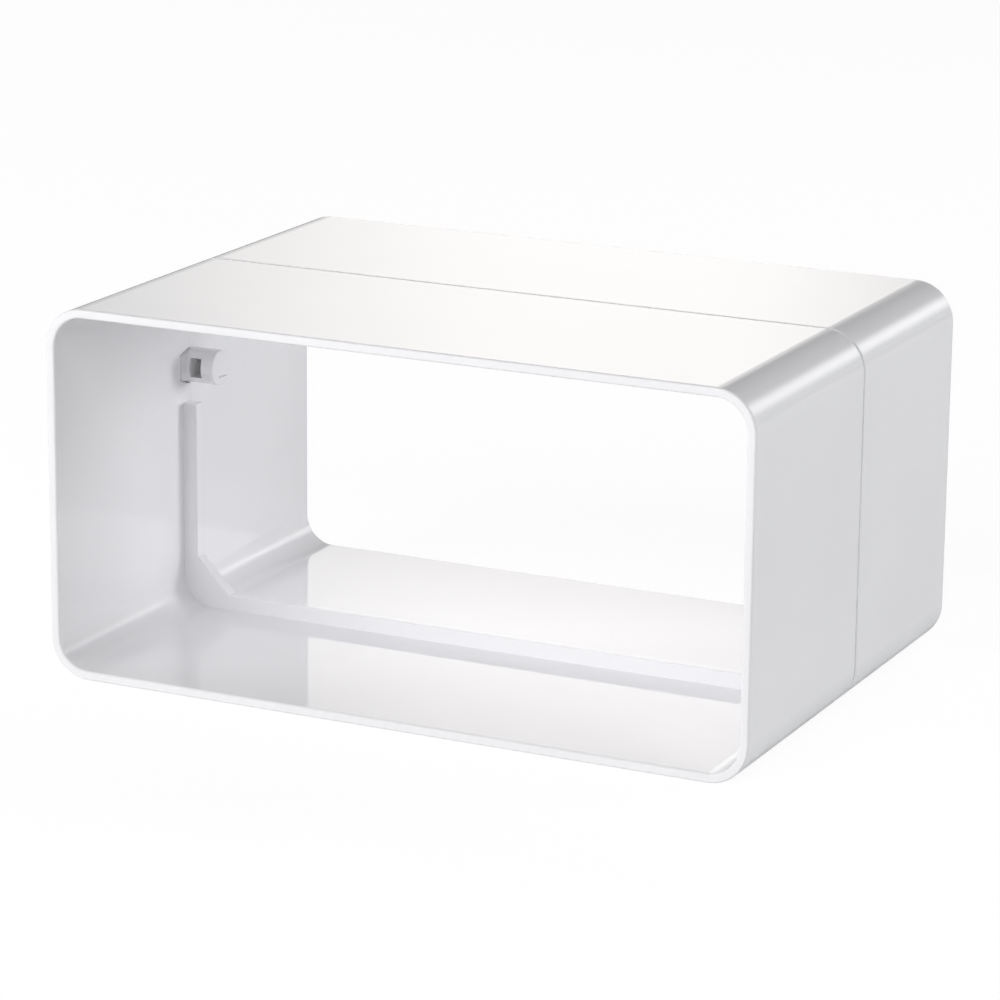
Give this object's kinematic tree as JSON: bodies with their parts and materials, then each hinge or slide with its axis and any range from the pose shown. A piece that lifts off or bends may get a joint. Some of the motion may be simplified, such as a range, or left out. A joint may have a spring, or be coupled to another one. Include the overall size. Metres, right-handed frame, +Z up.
{
  "type": "flat duct connector",
  "caption": "Rectangular white plastic sleeve, moulded in halves, that joins lengths of flat ventilation duct end to end, with an inner stop rib and pivot bosses.",
  "frame": {"origin": "middle of the outer box, on the floor that the sleeve lies on", "axes": "+X across the duct, +Y along the air flow from the front socket to the rear socket, +Z up"},
  "size_m": [0.1138, 0.0784, 0.0572],
  "materials": {
    "white_plastic": "glossy white moulded plastic"
  },
  "bodies": {
    "root": {"front_sleeve": "white_plastic", "rear_sleeve": "white_plastic"}
  },
  "joints": []
}
